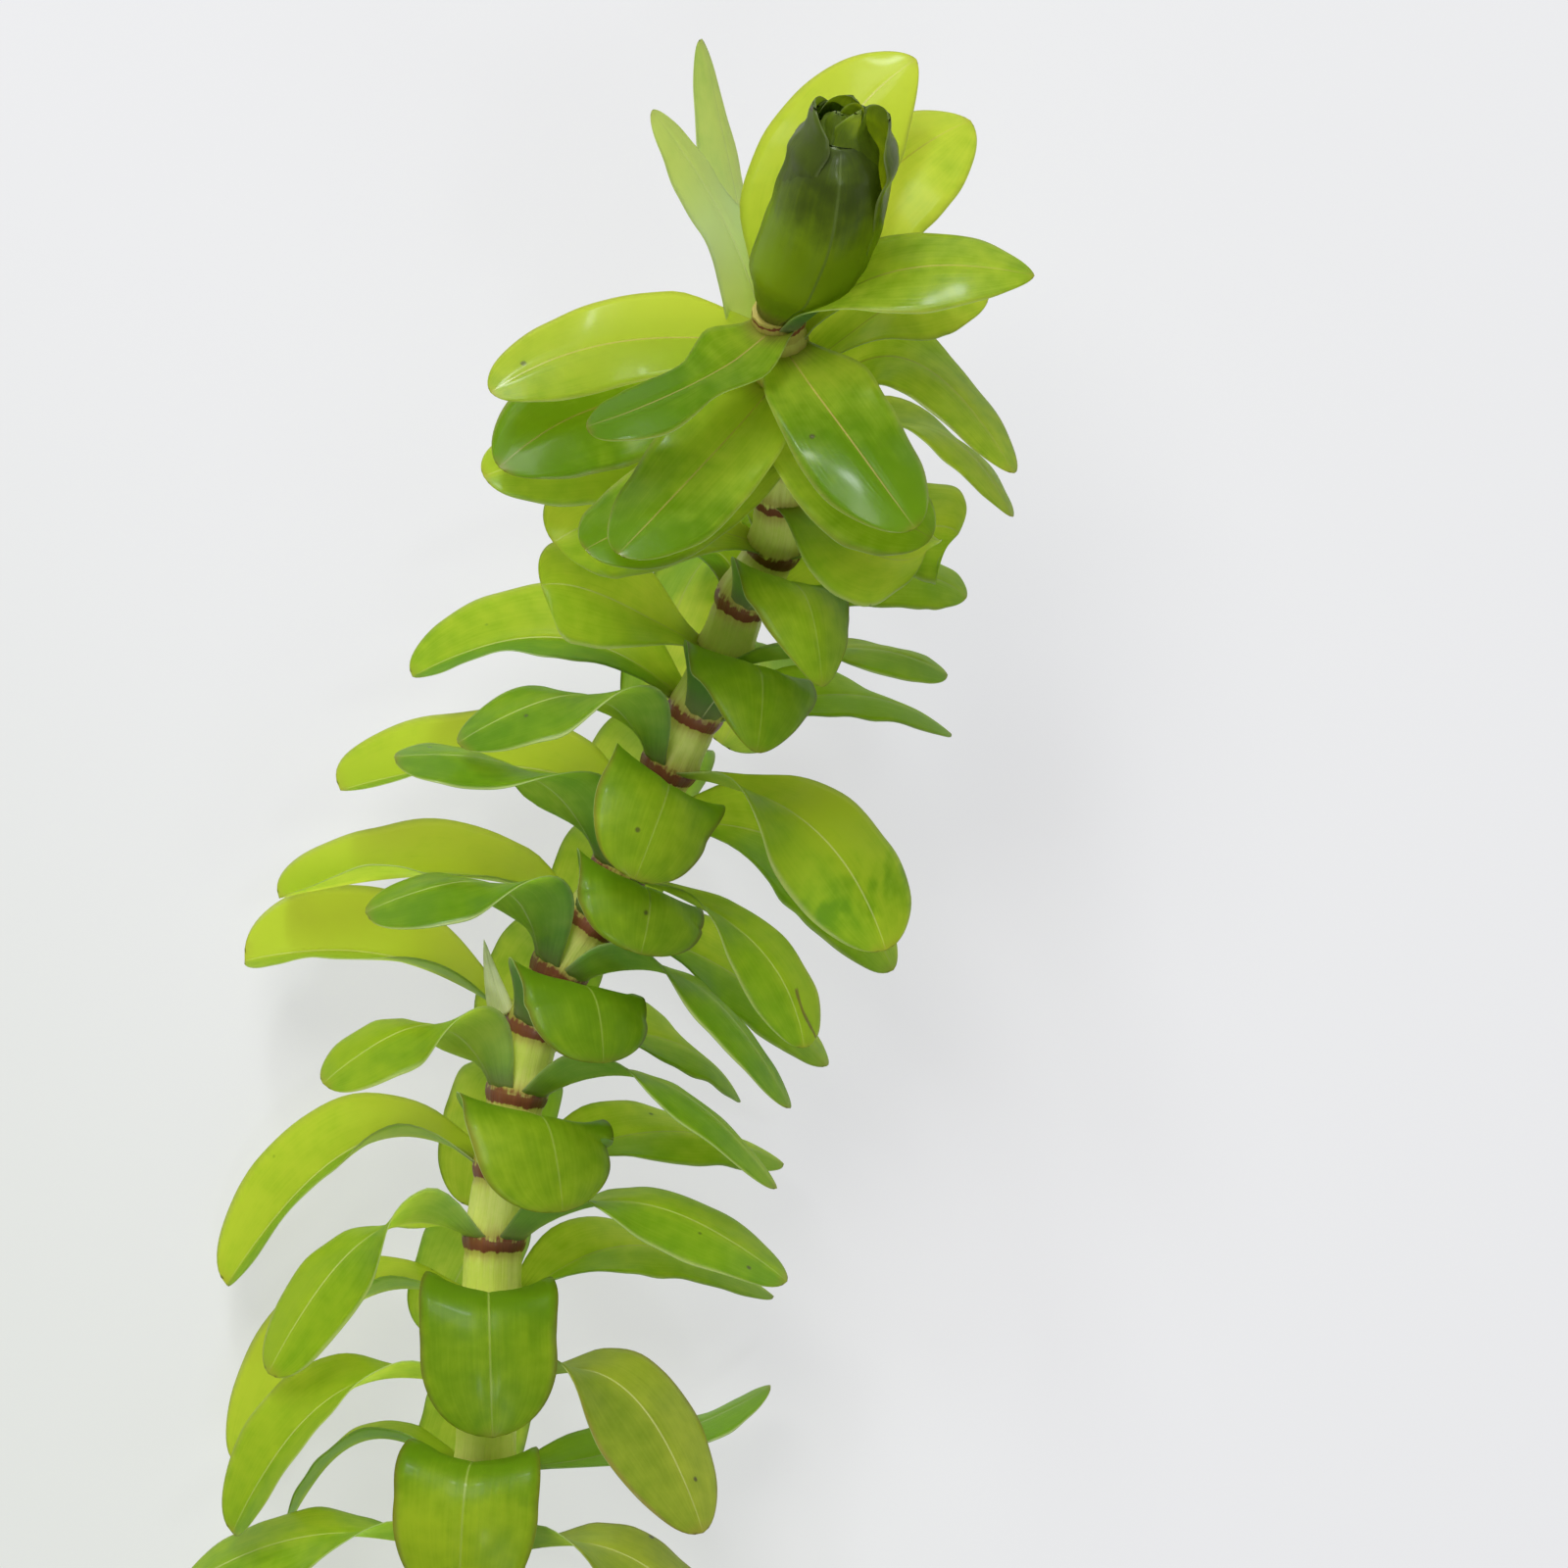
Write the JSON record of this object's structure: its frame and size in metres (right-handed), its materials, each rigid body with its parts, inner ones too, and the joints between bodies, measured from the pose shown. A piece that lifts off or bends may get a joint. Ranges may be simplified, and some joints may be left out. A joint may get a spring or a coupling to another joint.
{
  "type": "aquarium plant shoot",
  "caption": "Cut shoot of elodea, a water plant, lying on its lower leaves: a slim curved stem with whorls of thin oblong leaves that bend back, and a leafy bud at its raised tip.",
  "frame": {"origin": "middle of the lying shoot's outline, at the height of its lowest leaf tips", "axes": "+Y from the cut end towards the growing tip, +Z up from the surface that it lies on, +X to the right as the camera looks down with +Y up"},
  "size_m": [0.0254, 0.0506, 0.0223],
  "materials": {
    "stem": "moist, satin, pale yellow-green with purple bands at the nodes",
    "leaf": "moist, thin, lets light through, bright yellow-green",
    "young_leaf": "moist, dark green young leaves"
  },
  "bodies": {
    "root": {"bud": "young_leaf", "leaf_02_left": "leaf", "leaf_02_right": "leaf", "leaf_03_front": "leaf", "leaf_03_left": "leaf", "leaf_03_right": "leaf", "leaf_04_left": "leaf", "leaf_04_right": "leaf", "leaf_05_front": "leaf", "leaf_05_left": "leaf", "leaf_05_right": "leaf", "leaf_06_left": "leaf", "leaf_06_right": "leaf", "leaf_07_front": "leaf", "leaf_07_left": "leaf", "leaf_07_right": "leaf", "leaf_08_left": "leaf", "leaf_08_right": "leaf", "leaf_09_front": "leaf", "leaf_09_left": "leaf", "leaf_09_right": "leaf", "leaf_10_left": "leaf", "leaf_10_right": "leaf", "leaf_11_front": "leaf", "leaf_11_left": "leaf", "leaf_11_right": "leaf", "leaf_12_left": "leaf", "leaf_12_right": "leaf", "leaf_13_front": "leaf", "leaf_13_left": "leaf", "leaf_13_right": "leaf", "leaf_14_left": "leaf", "leaf_14_right": "leaf", "leaf_15_front": "leaf", "leaf_15_left": "leaf", "leaf_15_right": "leaf", "leaf_16_left": "leaf", "leaf_16_right": "leaf", "leaf_17_front": "leaf", "leaf_17_right": "leaf", "leaf_18_left": "leaf", "leaf_18_right": "leaf", "leaf_19_left": "leaf", "leaf_19_right": "leaf", "leaf_20_back": "leaf", "leaf_20_left": "leaf", "leaf_20_right": "leaf", "leaf_21_front": "leaf", "leaf_21_left": "leaf", "leaf_21_right": "leaf", "leaf_22_back": "leaf", "leaf_22_left": "leaf", "leaf_22_right": "leaf", "leaf_23_front": "leaf", "leaf_23_left": "leaf", "leaf_23_right": "leaf", "leaf_24_back": "leaf", "leaf_24_left": "leaf", "leaf_24_right": "leaf", "stem": "stem"}
  },
  "joints": []
}
